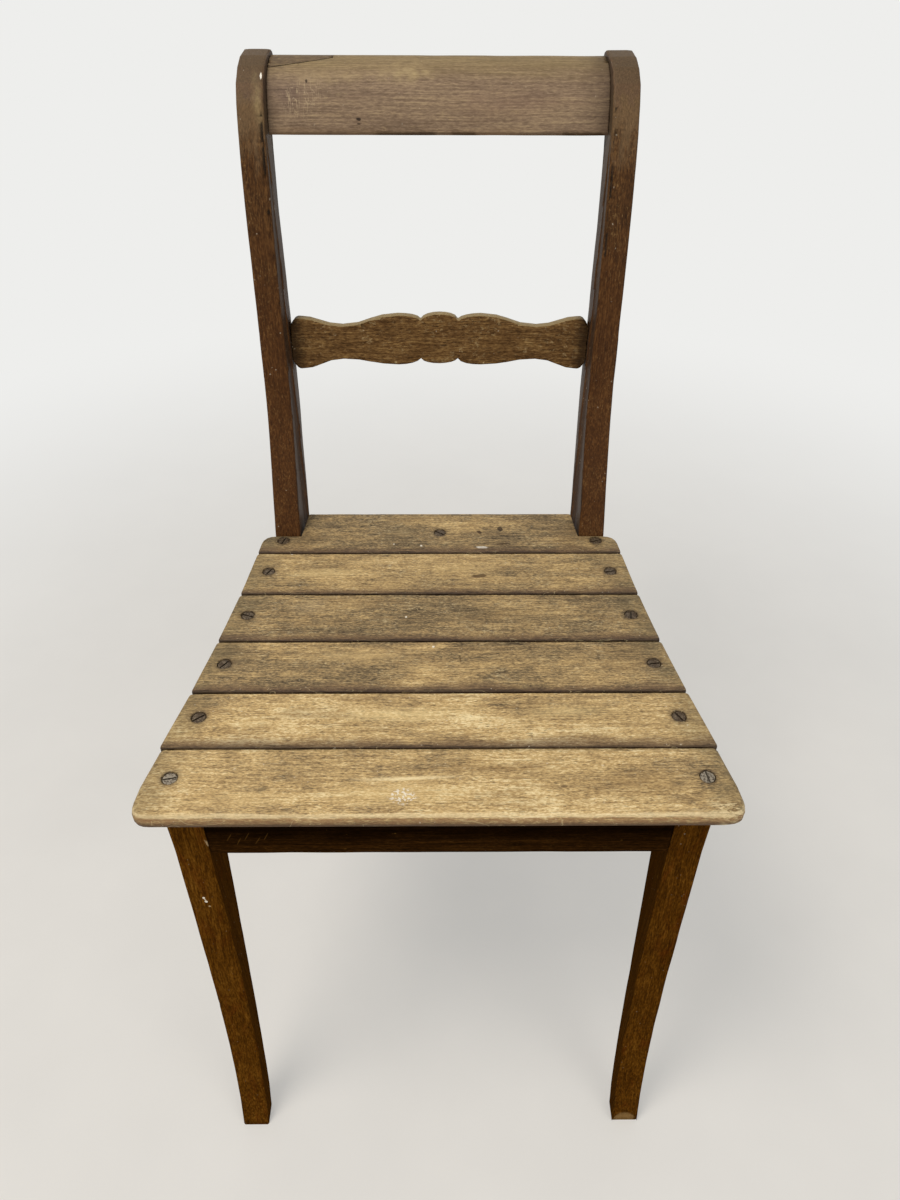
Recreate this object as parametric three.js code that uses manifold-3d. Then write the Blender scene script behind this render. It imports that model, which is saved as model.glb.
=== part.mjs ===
// A worn wooden side chair: bent rear posts, a curled crest rail, a scrolled back rail, a frame of
// four aprons on swept legs, and a seat of six separate slats held by slotted wood screws.
// Millimetres. x runs to the right, y from the front of the seat to the back, z up from the floor.

import * as THREE from "three";
import { mergeVertices } from "three/addons/utils/BufferGeometryUtils.js";
import Module from "manifold-3d";

const wasm = await Module();
wasm.setup();

// Overall sizes
const seatHeight = 465;
const chairHeight = 882;
const seatFrontWidth = 458;
const backWidth = 341.2;

// Seat slats, from the back of the seat to the front
const earDepth = 30.2;
const earOverhang = 11;
const tongueDepth = 41.1;
const fullSlatDepths = [66.6, 67.5, 64.7, 62.3, 64.1];
const slatThickness = 18;
const slatGap = 1.6;
const slatArris = 1.4;
const slatCornerRadius = 3;
const earCornerRadius = 13;
const noseCornerRadius = 14;
const noseRound = 6.5;
const sideRearPull = 203;
const sideRearFlare = 13.3;
const sideFrontPull = 30.5;

// Clearances
const jointGap = 0.3;
const postNotchGap = 0.5;
const tongueSideGap = 1.2;

// Rear posts, seen from the front and from the side
const postWidth = 25.9;
const postTopNarrowing = 2.4;
const postSkewDegrees = 4.5;
const postDepthAtSeat = 50;
const postArris = 2.5;
const rearFootSetback = 80.6;
const rearFootDepth = 26;
const waistRise = 227;
const waistLean = 54;
const waistDepth = 34;
const topLean = 129.5;
const curlThickness = 19.6;
const curlReach = 49.3;
const curlStart = 48;
const legSweep = 22;

// Rails of the back
const crestHeight = 54.5;
const crestRecessFoot = 11;
const crestRecessTop = 4;
const crestRearInset = 2.5;
const repairLength = 54;
const repairDepth = 6.6;
const repairFeather = 1.2;
const splatRise = 180.4;
const splatThickness = 11;
const splatRecess = 18;
const splatArris = 1.2;
const splatEndRise = 23;
const splatEndDrop = 27;
const splatEndEase = 1.5;
const splatWaistRise = 15;
const splatWaistDrop = 17;
const splatShoulderRise = 25.6;
const splatShoulderDrop = 22.6;
const splatNotchRise = 20.8;
const splatNotchDrop = 16.4;
const splatLobeRise = 27;
const splatLobeDrop = 21.4;
const splatLobeHalf = 18;
const splatShoulderReach = 22;
const splatWaistInset = 43;
const splatEndInset = 8;

// Seat frame
const apronHeight = 56;
const apronThickness = 22;
const frontOverhang = 19.5;
const sideOverhang = 17.2;
const apronRecess = 0.8;

// Front legs
const legTopWidth = 28.5;
const legTopDepth = 43;
const legFootWidth = 26;
const legFootDepth = 20;
const legFootReach = 50;
const legFootTuck = 10;
const legArris = 2;

// Damage: a splintered corner of the seat, and a chip out of the right front foot
const splinterLength = 30;
const splinterHeight = 6.5;
const footChipRadius = 13;
const footChipDepth = 2.2;
const footChipTilt = 0.33;

// Tenons and mortises
const backTenonLength = 15;
const backTenonThickness = 6;
const crestTenonHeight = 18;
const crestTenonRise = 14;
const crestTenonSetback = 18.5;
const splatTenonShoulder = 5;
const apronTenonLength = 15;
const apronTenonThickness = 9;
const rearTenonLength = 12;
const rearApronSetback = 3;
const sideTenonLength = 10;
const tenonShoulder = 8;
const tenonSetback = 7;

// Slotted countersunk screws
const screwHeadRadius = 5.6;
const screwHeadDepth = 3.4;
const screwShankRadius = 2.4;
const screwLength = 38;
const screwSink = 0.7;
const screwSlotWidth = 1.6;
const screwSlotDepth = 1.3;
const screwHoleGap = 0.5;
const slatScrewSetback = 3;
const earScrewInset = 8.4;
const middleScrewInset = 5.6;
const slotAngles = [72, 18, -35, 64, 12, -20, 81, 55, 8, 40, -62, 12, 95];

const curveSteps = 9;
const roundSteps = 3;
const screwSides = 16;

// Levels and lines that the pieces share
const seatUnderside = seatHeight - slatThickness;
const frameTop = seatUnderside - jointGap;
const frameBottom = seatUnderside - apronHeight;
const fullSlatsDepth = fullSlatDepths.reduce((sum, depth) => sum + depth, 0);
const postFront = fullSlatsDepth + earDepth + postNotchGap;
const backHalfWidth = backWidth / 2;
const backInnerHalf = backHalfWidth - postWidth;
const seatRearWidth = backWidth + 2 * earOverhang;
const postSkew = Math.tan(THREE.MathUtils.degToRad(postSkewDegrees));
const legOuterHalf = seatFrontWidth / 2 - sideOverhang;
const legInnerHalf = legOuterHalf - legTopWidth;
const legFootInner = legOuterHalf - legFootTuck - legFootWidth;
const legRear = frontOverhang + legTopDepth;

// Materials

function worn(color, roughness, metalness = 0) {
  return new THREE.MeshStandardMaterial({ color, roughness, metalness });
}

const slatWood = worn(0xa58a60, 0.75);
const postWood = worn(0x634a33, 0.5);
const crestWood = worn(0x80684c, 0.6);
const splatWood = worn(0x6a4d2c, 0.5);
const legWood = worn(0x50331a, 0.45);
const apronWood = worn(0x412a16, 0.55);
const screwSteel = worn(0x6f6a62, 0.5, 0.85);

// Solids: closed meshes in, closed meshes out

function solidOf(geometry) {
  const bare = geometry.clone();
  bare.deleteAttribute("normal");
  bare.deleteAttribute("uv");
  const merged = mergeVertices(bare, 1e-4);
  return new wasm.Manifold(
    new wasm.Mesh({
      numProp: 3,
      vertProperties: Float32Array.from(merged.attributes.position.array),
      triVerts: Uint32Array.from(merged.index.array),
    }),
  );
}

function geometryOf(solid) {
  const mesh = solid.getMesh();
  const geometry = new THREE.BufferGeometry();
  geometry.setAttribute("position", new THREE.BufferAttribute(mesh.vertProperties, 3));
  geometry.setIndex(new THREE.BufferAttribute(mesh.triVerts, 1));
  return geometry;
}

function carve(geometry, { add = [], cut = [], keep = [] }) {
  let solid = solidOf(geometry);
  for (const piece of add) {
    solid = solid.add(solidOf(piece));
  }
  for (const tool of keep) {
    solid = solid.intersect(solidOf(tool));
  }
  for (const tool of cut) {
    solid = solid.subtract(solidOf(tool));
  }
  return geometryOf(solid);
}

function block(x0, x1, y0, y1, z0, z1) {
  return new THREE.BoxGeometry(x1 - x0, y1 - y0, z1 - z0)
    .translate((x0 + x1) / 2, (y0 + y1) / 2, (z0 + z1) / 2);
}

// Outlines drawn flat, then pushed along x, y or z with eased edges

function extrude(outline, length, arris, steps = curveSteps, rounding = roundSteps) {
  const geometry = new THREE.ExtrudeGeometry(outline, {
    depth: length - 2 * arris,
    bevelEnabled: arris > 0,
    bevelThickness: arris,
    bevelSize: arris,
    bevelOffset: -arris,
    bevelSegments: rounding,
    curveSegments: steps,
  });
  return geometry.translate(0, 0, arris);
}

function extrudeAlongX(outline, length, arris) {
  const turn = new THREE.Matrix4().makeBasis(
    new THREE.Vector3(0, 1, 0), new THREE.Vector3(0, 0, 1), new THREE.Vector3(1, 0, 0));
  return extrude(outline, length, arris).applyMatrix4(turn).translate(-length / 2, 0, 0);
}

function extrudeAlongY(outline, length, arris, steps, rounding) {
  const turn = new THREE.Matrix4().makeBasis(
    new THREE.Vector3(1, 0, 0), new THREE.Vector3(0, 0, 1), new THREE.Vector3(0, -1, 0));
  return extrude(outline, length, arris, steps, rounding)
    .applyMatrix4(turn)
    .translate(0, length, 0);
}

// A closed outline through corner points, each corner rounded by its own radius

function roundedOutline(corners) {
  const outline = new THREE.Shape();
  corners.forEach(({ point, radius = 0 }, i) => {
    const before = corners.at(i - 1).point;
    const after = corners[(i + 1) % corners.length].point;
    const start = point.clone().lerp(before, radius / point.distanceTo(before));
    const end = point.clone().lerp(after, radius / point.distanceTo(after));
    if (i === 0) outline.moveTo(start.x, start.y);
    else outline.lineTo(start.x, start.y);
    if (radius > 0) outline.quadraticCurveTo(point.x, point.y, end.x, end.y);
  });
  outline.closePath();
  return outline;
}

function at(x, y, radius = 0) {
  return { point: new THREE.Vector2(x, y), radius };
}

// Side view curves of a rear post, from the floor up: u runs backwards, v up

function curve(...points) {
  return new THREE.CubicBezierCurve(...points.map(([u, v]) => new THREE.Vector2(u, v)));
}

const waist = seatHeight + waistRise;
const topFront = postFront + topLean;
const curlRear = topFront + 2.1;
const curlUnderside = chairHeight - curlThickness;

const postFaces = {
  frontLower: curve(
    [postFront + rearFootSetback, 0],
    [postFront + rearFootSetback - legSweep, 0.31 * frameBottom],
    [postFront, 0.77 * frameBottom], [postFront, frameBottom]),
  frontJoint: new THREE.LineCurve(
    new THREE.Vector2(postFront, frameBottom), new THREE.Vector2(postFront, seatHeight)),
  frontMiddle: curve(
    [postFront, seatHeight], [postFront + 0.733 * waistLean, seatHeight + 0.507 * waistRise],
    [postFront + 0.789 * waistLean, waist - 0.58 * waistRise], [postFront + waistLean, waist]),
  frontUpper: curve(
    [postFront + waistLean, waist],
    [postFront + 1.237 * waistLean, chairHeight - curlStart],
    [topFront - curlReach, chairHeight - 3], [topFront, chairHeight]),
  tip: curve(
    [topFront, chairHeight], [topFront + 12, chairHeight + 0.5],
    [curlRear + 10, curlUnderside + 8.5], [curlRear, curlUnderside]),
  rearUpper: curve(
    [curlRear, curlUnderside], [curlRear - 19.5, curlUnderside - 17],
    [postFront + waistLean + waistDepth + 7, curlUnderside + 7],
    [postFront + waistLean + waistDepth, waist]),
  rearMiddle: curve(
    [postFront + waistLean + waistDepth, waist],
    [postFront + waistLean + waistDepth - 3.4, waist - 0.54 * waistRise],
    [postFront + postDepthAtSeat + 0.585 * waistLean, seatHeight + 0.55 * waistRise],
    [postFront + postDepthAtSeat, seatHeight]),
  rearLower: curve(
    [postFront + postDepthAtSeat, seatHeight],
    [postFront + postDepthAtSeat - legSweep, 0.76 * seatHeight],
    [postFront + rearFootSetback + rearFootDepth - legSweep, 0.28 * seatHeight],
    [postFront + rearFootSetback + rearFootDepth, 0]),
};

// Where a face that climbs steadily stands at a height

function setbackAt(face, height) {
  let [low, high] = [0, 1];
  const rising = face.getPoint(1).y > face.getPoint(0).y;
  for (let step = 0; step < 40; step++) {
    const middle = (low + high) / 2;
    if ((face.getPoint(middle).y < height) === rising) low = middle;
    else high = middle;
  }
  return { setback: face.getPoint(low).x, share: low };
}

// A curve's points moved into the wood, by a distance that may change along it

function insetPoints(face, from, to, steps, distanceAt) {
  return Array.from({ length: steps + 1 }, (_, i) => {
    const share = THREE.MathUtils.lerp(from, to, i / steps);
    const along = face.getTangent(share);
    return face.getPoint(share)
      .addScaledVector(new THREE.Vector2(along.y, -along.x), distanceAt(share));
  });
}

// How far a face leans back from upright

function tiltAt(face, share) {
  const along = face.getTangent(share);
  return Math.atan2(along.x, along.y);
}

// The seat's side edge in plan: half the seat's width at a distance from the front

const sideEdge = new THREE.CubicBezierCurve(
  new THREE.Vector2(postFront, seatRearWidth / 2),
  new THREE.Vector2(postFront - sideRearPull, seatRearWidth / 2 + sideRearFlare),
  new THREE.Vector2(noseRound + sideFrontPull, seatFrontWidth / 2 + 0.7),
  new THREE.Vector2(noseRound, seatFrontWidth / 2),
);

function halfWidthAt(y) {
  let [low, high] = [0, 1];
  for (let step = 0; step < 40; step++) {
    const middle = (low + high) / 2;
    if (sideEdge.getPoint(middle).x > y) low = middle;
    else high = middle;
  }
  return sideEdge.getPoint(low).y;
}

// Side aprons run straight from the leg to the post, so their middle line is a straight one

function apronOuterAt(y) {
  const share = (y - legRear) / (postFront - legRear);
  return THREE.MathUtils.lerp(legOuterHalf, backHalfWidth, share);
}

function apronMiddleAt(y) {
  return apronOuterAt(y) - apronThickness / 2;
}

// Slats, numbered from the back: where each starts and ends, and its screws

function slatSpans() {
  const spans = [{ front: fullSlatsDepth, back: postFront - postNotchGap }];
  let back = fullSlatsDepth;
  for (const depth of fullSlatDepths) {
    spans.push({ front: back - depth, back });
    back -= depth;
  }
  return spans;
}

const slats = slatSpans();

function screwSpots() {
  const spots = [];
  const rearRow = postFront - earScrewInset;
  for (const side of [-1, 1]) spots.push({ slat: 0, x: side * apronMiddleAt(rearRow), y: rearRow });
  spots.push({ slat: 0, x: 0, y: postFront + middleScrewInset });
  slats.slice(1).forEach(({ front, back }, i) => {
    const y = (front + back) / 2 + slatScrewSetback;
    for (const side of [-1, 1]) spots.push({ slat: i + 1, x: side * apronMiddleAt(y), y });
  });
  return spots;
}

const screws = screwSpots();

// Screws and the holes that hold them

function screwGeometry() {
  const profile = [
    [0, 0], [screwHeadRadius, 0], [screwHeadRadius, -0.6], [screwShankRadius, -screwHeadDepth],
    [screwShankRadius, 5 - screwLength], [0, -screwLength],
  ].map(([r, z]) => new THREE.Vector2(r, z));
  const turned = new THREE.LatheGeometry(profile.reverse(), screwSides).rotateX(Math.PI / 2);
  const slot = block(-2 * screwHeadRadius, 2 * screwHeadRadius,
    -screwSlotWidth / 2, screwSlotWidth / 2, -screwSlotDepth, 1);
  return carve(turned, { cut: [slot] });
}

function countersink() {
  const rim = screwHeadRadius + screwHoleGap;
  const shank = screwShankRadius + screwHoleGap;
  const profile = [
    [0, -slatThickness - 1], [shank, -slatThickness - 1], [shank, -screwSink - screwHeadDepth - 0.2],
    [rim, -screwSink - 0.8], [rim + 0.3, 1], [0, 1],
  ].map(([r, z]) => new THREE.Vector2(r, z));
  return new THREE.LatheGeometry(profile, screwSides).rotateX(Math.PI / 2);
}

function pilotHole({ x, y }) {
  const radius = screwShankRadius + jointGap;
  const bottom = seatHeight - screwSink - screwLength - 2 * jointGap;
  const height = seatHeight - bottom;
  return new THREE.CylinderGeometry(radius, radius, height, screwSides)
    .rotateX(Math.PI / 2)
    .translate(x, y, bottom + height / 2);
}

function pilotHolesFor(wanted) {
  return screws.filter(wanted).map(pilotHole);
}

// Seat slats

function sidePoints(from, to, steps) {
  return Array.from({ length: steps + 1 }, (_, i) => {
    const y = from + ((to - from) * i) / steps;
    return [halfWidthAt(y), y];
  });
}

function slatOutline(front, back, cornerFront, cornerBack) {
  const right = sidePoints(front, back, 3);
  const corner = (i) => (i === 0 ? cornerFront : i === right.length - 1 ? cornerBack : 0);
  return roundedOutline([
    ...right.map(([x, y], i) => at(x, y, corner(i))),
    ...right.map(([x, y], i) => at(-x, y, corner(i))).reverse(),
  ]);
}

function slatHoles(index) {
  return screws
    .filter(({ slat }) => slat === index)
    .map(({ x, y }) => countersink().translate(x, y, slatThickness));
}

function rearSlat() {
  const { front, back } = slats[0];
  const tongueRoot = backInnerHalf - tongueSideGap;
  const tongueEnd = tongueRoot - postSkew * tongueDepth;
  const [x0, x1] = [halfWidthAt(front + slatGap / 2), halfWidthAt(back)];
  const tongueBack = postFront + tongueDepth;
  const outline = roundedOutline([
    at(x0, front + slatGap / 2, slatCornerRadius), at(x1, back, earCornerRadius),
    at(tongueRoot, back), at(tongueEnd, tongueBack, slatCornerRadius),
    at(-tongueEnd, tongueBack, slatCornerRadius), at(-tongueRoot, back),
    at(-x1, back, earCornerRadius), at(-x0, front + slatGap / 2, slatCornerRadius),
  ]);
  return carve(extrude(outline, slatThickness, slatArris, 4), { cut: slatHoles(0) });
}

function middleSlat(index) {
  const { front, back } = slats[index];
  const outline = slatOutline(
    front + slatGap / 2, back - slatGap / 2, slatCornerRadius, slatCornerRadius);
  return carve(extrude(outline, slatThickness, slatArris, 3), { cut: slatHoles(index) });
}

function frontSlat() {
  const { back } = slats.at(-1);
  const straightBack = back - slatGap / 2;
  const rounded = extrude(
    slatOutline(0, back + 3 * noseRound, noseCornerRadius, 0), slatThickness, noseRound, 6);
  const squareBack = extrude(
    slatOutline(-noseRound, straightBack, 0, slatCornerRadius), slatThickness, 0, 3);
  return carve(rounded, {
    keep: [squareBack],
    cut: [...slatHoles(slats.length - 1), splinteredCorner()],
  });
}

// Wood torn off the underside of the front right corner, in two flakes

function splinteredCorner() {
  const corner = seatFrontWidth / 2;
  const torn = new THREE.Shape([
    new THREE.Vector2(corner - splinterLength, -1),
    new THREE.Vector2(corner - 0.6 * splinterLength, 0.3 * splinterHeight),
    new THREE.Vector2(corner - 0.55 * splinterLength, 0.55 * splinterHeight),
    new THREE.Vector2(corner + 2, splinterHeight),
    new THREE.Vector2(corner + 2, -1),
  ]);
  return extrudeAlongY(torn, 3 * noseRound, 0).translate(0, -1, 0);
}

// A tenon at the end of a back rail, standing round the rail's own middle line

function backTenon(side, gap, low, high) {
  const middle = side * (backInnerHalf + gap);
  const half = backTenonThickness / 2 + gap;
  return block(middle - backTenonLength, middle + backTenonLength, -half, half,
    low - gap, high + gap);
}

// Rear posts: leg and back upright in one curved piece, mortised for three rails

function postOutline() {
  const outline = new THREE.Shape();
  const foot = postFaces.frontLower.getPoint(0);
  outline.moveTo(foot.x, foot.y);
  for (const face of Object.values(postFaces)) {
    if (face.isLineCurve) outline.lineTo(face.v2.x, face.v2.y);
    else outline.bezierCurveTo(face.v1.x, face.v1.y, face.v2.x, face.v2.y, face.v3.x, face.v3.y);
  }
  outline.closePath();
  return outline;
}

// The front face of a post, at any height

function postFrontAt(height) {
  const { frontLower, frontMiddle, frontUpper } = postFaces;
  if (height < frameBottom) return setbackAt(frontLower, height).setback;
  if (height < seatHeight) return postFront;
  if (height < waist) return setbackAt(frontMiddle, height).setback;
  return setbackAt(frontUpper, Math.min(height, curlUnderside)).setback;
}

// Posts stand slightly turned, like the sides of the seat, and grow narrower above it

function turnedPost(side) {
  const post = extrudeAlongX(postOutline(), postWidth, postArris);
  const position = post.attributes.position;
  for (let i = 0; i < position.count; i++) {
    const [x, y, z] = [position.getX(i), position.getY(i), position.getZ(i)];
    const inward = 0.5 - (side * x) / postWidth;
    const rise = THREE.MathUtils.clamp((z - seatHeight) / waistRise, 0, 1);
    const depth = Math.max(0, y - postFrontAt(z));
    position.setX(i, x + side * (inward * postTopNarrowing * rise - postSkew * depth));
  }
  return post;
}

// Rails end against the inner faces of the posts

function betweenPosts(rail) {
  const posts = [-1, 1].map((side) =>
    turnedPost(side).translate(side * (backHalfWidth - postWidth / 2 - jointGap), 0, 0));
  return carve(rail, { cut: posts });
}

function rearPost(side) {
  const toLocal = -side * (backHalfWidth - postWidth / 2);
  return carve(turnedPost(side), {
    cut: [
      crestTenon(side, jointGap),
      placedSplatTenon(side, jointGap),
      rearApronTenon(side, jointGap),
      sideApronTenon(side, jointGap, "post"),
    ].map((tool) => tool.translate(toLocal, 0, 0)),
  });
}

// Crest rail: follows the curl of the posts, set back from their faces

const railLength = 2 * backHalfWidth - postWidth;
const { frontUpper, tip, rearUpper } = postFaces;
const crestBottom = chairHeight - crestHeight;
const crestFrontShare = setbackAt(frontUpper, crestBottom).share;
const crestRearShare = setbackAt(rearUpper, crestBottom).share;
const crestFrontEnd = 0.97;

function crestRecessAt(share) {
  return THREE.MathUtils.mapLinear(
    share, crestFrontShare, crestFrontEnd, crestRecessFoot, crestRecessTop);
}

function crestSection() {
  return new THREE.Shape([
    ...insetPoints(frontUpper, crestFrontShare, crestFrontEnd, curveSteps, crestRecessAt),
    ...insetPoints(tip, 0.25, 0.8, 4, () => crestRecessTop),
    ...insetPoints(rearUpper, 0.08, crestRearShare, curveSteps, () => crestRearInset),
  ]);
}

const crestLevel = crestBottom + crestTenonRise;
const crestSeat = setbackAt(frontUpper, crestLevel);
const crestTilt = tiltAt(frontUpper, crestSeat.share);

function crestTenon(side, gap) {
  return backTenon(side, gap, -crestTenonHeight / 2, crestTenonHeight / 2)
    .rotateX(-crestTilt)
    .translate(0, crestSeat.setback + crestTenonSetback, crestLevel);
}

// The repair is a thin wedge let into the top of the crest at its left end

function repairWedge(gap) {
  const [end, inner] = [-backInnerHalf, repairLength - backInnerHalf + gap];
  const top = chairHeight - crestRecessTop;
  const outline = new THREE.Shape([
    new THREE.Vector2(end - postWidth, top - repairDepth - gap),
    new THREE.Vector2(end, top - repairDepth - gap),
    new THREE.Vector2(inner, top - repairFeather - gap),
    new THREE.Vector2(inner, chairHeight),
    new THREE.Vector2(end - postWidth, chairHeight),
  ]);
  return extrudeAlongY(outline, 2 * topLean, 0).translate(0, postFront, 0);
}

function crestBody() {
  return betweenPosts(extrudeAlongX(crestSection(), railLength, 0));
}

function crestRail() {
  return carve(crestBody(), {
    add: [crestTenon(-1, 0), crestTenon(1, 0)],
    cut: [repairWedge(jointGap)],
  });
}

function crestPatch() {
  return carve(crestBody(), { keep: [repairWedge(0)] });
}

// Back rail: scrolled on both edges, with a lobe between two notches in the middle

function splatEdge(heights) {
  const offsets = [
    railLength / 2, backInnerHalf - splatEndInset, backInnerHalf - splatEndInset - splatWaistInset,
    splatLobeHalf + splatShoulderReach, splatLobeHalf, 0,
  ];
  const right = offsets.map((x, i) => ({ x, z: heights[i], notch: x === splatLobeHalf }));
  const left = right.slice(0, -1).reverse().map((stop) => ({ ...stop, x: -stop.x }));
  return [...right, ...left];
}

function splatOutline() {
  const upper = splatEdge([
    splatEndRise - splatEndEase, splatEndRise, splatWaistRise,
    splatShoulderRise, splatNotchRise, splatLobeRise,
  ]);
  const lower = splatEdge([
    splatEndDrop - splatEndEase, splatEndDrop, splatWaistDrop,
    splatShoulderDrop, splatNotchDrop, splatLobeDrop,
  ]).map((stop) => ({ ...stop, x: -stop.x, z: -stop.z }));
  const outline = new THREE.Shape();
  outline.moveTo(upper[0].x, upper[0].z);
  for (const edge of [upper, lower]) {
    if (edge === lower) outline.lineTo(lower[0].x, lower[0].z);
    edge.slice(1).forEach((to, i) => scrollTo(outline, edge[i], to));
  }
  outline.closePath();
  return outline;
}

// One sweep of the scroll: level at its crests and hollows, steep where it meets a notch

function scrollTo(outline, from, to) {
  const [run, rise] = [to.x - from.x, to.z - from.z];
  const [leave, climb] = from.notch ? [0.1 * run, 0.75 * rise] : [0.45 * run, 0];
  const [arrive, drop] = to.notch ? [0.1 * run, 0.6 * rise] : [0.45 * run, 0];
  outline.bezierCurveTo(from.x + leave, from.z + climb, to.x - arrive, to.z - drop, to.x, to.z);
}

const splatLevel = seatHeight + splatRise;
const splatSeat = setbackAt(postFaces.frontMiddle, splatLevel);
const splatMiddle = splatSeat.setback + splatRecess + splatThickness / 2;
const splatTilt = tiltAt(postFaces.frontMiddle, splatSeat.share);

function splatTenon(side, gap) {
  return backTenon(side, gap, splatTenonShoulder - splatEndDrop, splatEndRise - splatTenonShoulder);
}

function placedSplatTenon(side, gap) {
  return splatTenon(side, gap).rotateX(-splatTilt).translate(0, splatMiddle, splatLevel);
}

function splatRail() {
  const body = extrudeAlongY(splatOutline(), splatThickness, splatArris, 4, 2)
    .translate(0, -splatThickness / 2, 0);
  const fitted = betweenPosts(body.rotateX(-splatTilt).translate(0, splatMiddle, splatLevel))
    .translate(0, -splatMiddle, -splatLevel).rotateX(splatTilt);
  return carve(fitted, { add: [splatTenon(-1, 0), splatTenon(1, 0)] });
}

// Seat frame: four aprons with tenons

function tenon(x0, x1, y0, y1, gap) {
  return block(x0 - gap, x1 + gap, y0 - gap, y1 + gap,
    frameBottom + tenonShoulder - gap, frameTop - tenonShoulder + gap);
}

function rearApronTenon(side, gap) {
  const y0 = postFront + rearApronSetback + apronThickness / 2;
  const ends = [side * (backInnerHalf - 20), side * (backInnerHalf + rearTenonLength)];
  return tenon(Math.min(...ends), Math.max(...ends), y0, y0 + apronTenonThickness, gap);
}

function sideApronTenon(side, gap, end) {
  const y = end === "post" ? postFront : legRear;
  const middle = side * apronMiddleAt(y);
  const half = apronTenonThickness / 2;
  return tenon(middle - half, middle + half, y - sideTenonLength, y + sideTenonLength, gap);
}

function frontApronTenon(side, gap) {
  const y0 = frontOverhang + apronRecess + tenonSetback;
  const ends = [side * (legInnerHalf - 20), side * (legInnerHalf + apronTenonLength)];
  return tenon(Math.min(...ends), Math.max(...ends), y0, y0 + apronTenonThickness, gap);
}

// The front legs draw in towards the foot, and the front apron's ends follow them
function legInnerAt(height) {
  return THREE.MathUtils.lerp(legFootInner, legInnerHalf, height / frameTop);
}

function frontApron() {
  const [low, high] = [legInnerAt(frameBottom) - jointGap, legInnerAt(frameTop) - jointGap];
  const face = new THREE.Shape([
    new THREE.Vector2(-low, frameBottom),
    new THREE.Vector2(low, frameBottom),
    new THREE.Vector2(high, frameTop),
    new THREE.Vector2(-high, frameTop),
  ]);
  const body = extrudeAlongY(face, apronThickness, 0)
    .translate(0, frontOverhang + apronRecess, 0);
  return carve(body, { add: [frontApronTenon(-1, 0), frontApronTenon(1, 0)] });
}

function rearApron() {
  const reach = railLength / 2;
  const front = postFront + rearApronSetback;
  const body = block(-reach, reach, front, front + apronThickness, frameBottom, frameTop);
  return carve(betweenPosts(body), {
    add: [rearApronTenon(-1, 0), rearApronTenon(1, 0)],
    cut: pilotHolesFor(({ x }) => x === 0),
  });
}

function sideApron(side) {
  const [front, back] = [legRear + jointGap, postFront - jointGap];
  const plan = new THREE.Shape([
    [side * apronOuterAt(front), front], [side * apronOuterAt(back), back],
    [side * (apronOuterAt(back) - apronThickness), back],
    [side * (apronOuterAt(front) - apronThickness), front],
  ].map(([x, y]) => new THREE.Vector2(x, y)));
  const body = extrude(plan, frameTop - frameBottom, 0).translate(0, 0, frameBottom);
  return carve(body, {
    add: [sideApronTenon(side, 0, "leg"), sideApronTenon(side, 0, "post")],
    cut: pilotHolesFor(({ x, y }) => x * side > 0 && y > legRear),
  });
}

// Front legs: square above, swept forward and tapered below the apron

function legOutline() {
  const outline = new THREE.Shape();
  const footFront = frontOverhang - legFootReach;
  const footRear = footFront + legFootDepth;
  outline.moveTo(frontOverhang, frameTop);
  outline.lineTo(frontOverhang, frameBottom);
  outline.bezierCurveTo(frontOverhang - 10.5, 0.66 * frameBottom,
    footFront + 35.5, 0.26 * frameBottom, footFront, 0);
  outline.lineTo(footRear, 0);
  outline.bezierCurveTo(footRear + 26.7, 0.14 * frameBottom,
    legRear - 17.8, 0.79 * frameBottom, legRear, frameBottom);
  outline.lineTo(legRear, frameTop);
  outline.closePath();
  return outline;
}

function taperLeg(geometry, side) {
  const position = geometry.attributes.position;
  const footShift = -side * (legFootTuck + (legFootWidth - legTopWidth) / 2);
  for (let i = 0; i < position.count; i++) {
    const fall = 1 - position.getZ(i) / frameTop;
    const width = THREE.MathUtils.lerp(1, legFootWidth / legTopWidth, fall);
    position.setX(i, position.getX(i) * width + footShift * fall);
  }
  return geometry;
}

function frontLeg(side) {
  const toLocal = -side * (legOuterHalf - legTopWidth / 2);
  const leg = taperLeg(extrudeAlongX(legOutline(), legTopWidth, legArris), side);
  return carve(leg, {
    cut: [
      frontApronTenon(side, jointGap),
      sideApronTenon(side, jointGap, "leg"),
      ...pilotHolesFor(({ x, y }) => x * side > 0 && y < legRear),
      ...(side > 0 ? [footChip()] : []),
    ].map((tool) => tool.translate(toLocal, 0, 0)),
  });
}

// A rounded flake gone from the face of the foot, which leans as the leg does there

function footChip() {
  const middle = legFootInner + legFootWidth / 2;
  return new THREE.CylinderGeometry(footChipRadius, footChipRadius, 20, screwSides)
    .translate(0, footChipDepth - 10, 0)
    .rotateX(-footChipTilt)
    .translate(middle, frontOverhang - legFootReach, 0);
}

// The chair

const chair = new THREE.Group();
chair.name = "chair";
const seat = new THREE.Group();
const back = new THREE.Group();
const frame = new THREE.Group();
chair.add(seat, back, frame);

function place(group, name, geometry, material, x = 0, y = 0, z = 0) {
  const mesh = new THREE.Mesh(geometry, material.clone());
  mesh.name = name;
  mesh.position.set(x, y, z);
  group.add(mesh);
  return mesh;
}

seat.position.z = seatUnderside;
place(seat, "seat_slat_1", rearSlat(), slatWood);
for (let i = 1; i < slats.length - 1; i++) place(seat, `seat_slat_${i + 1}`, middleSlat(i), slatWood);
place(seat, `seat_slat_${slats.length}`, frontSlat(), slatWood);

screws.forEach(({ x, y }, i) => {
  const screw = place(seat, `seat_screw_${i + 1}`, screwGeometry(), screwSteel,
    x, y, slatThickness - screwSink);
  screw.rotation.z = THREE.MathUtils.degToRad(slotAngles[i % slotAngles.length]);
});

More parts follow.
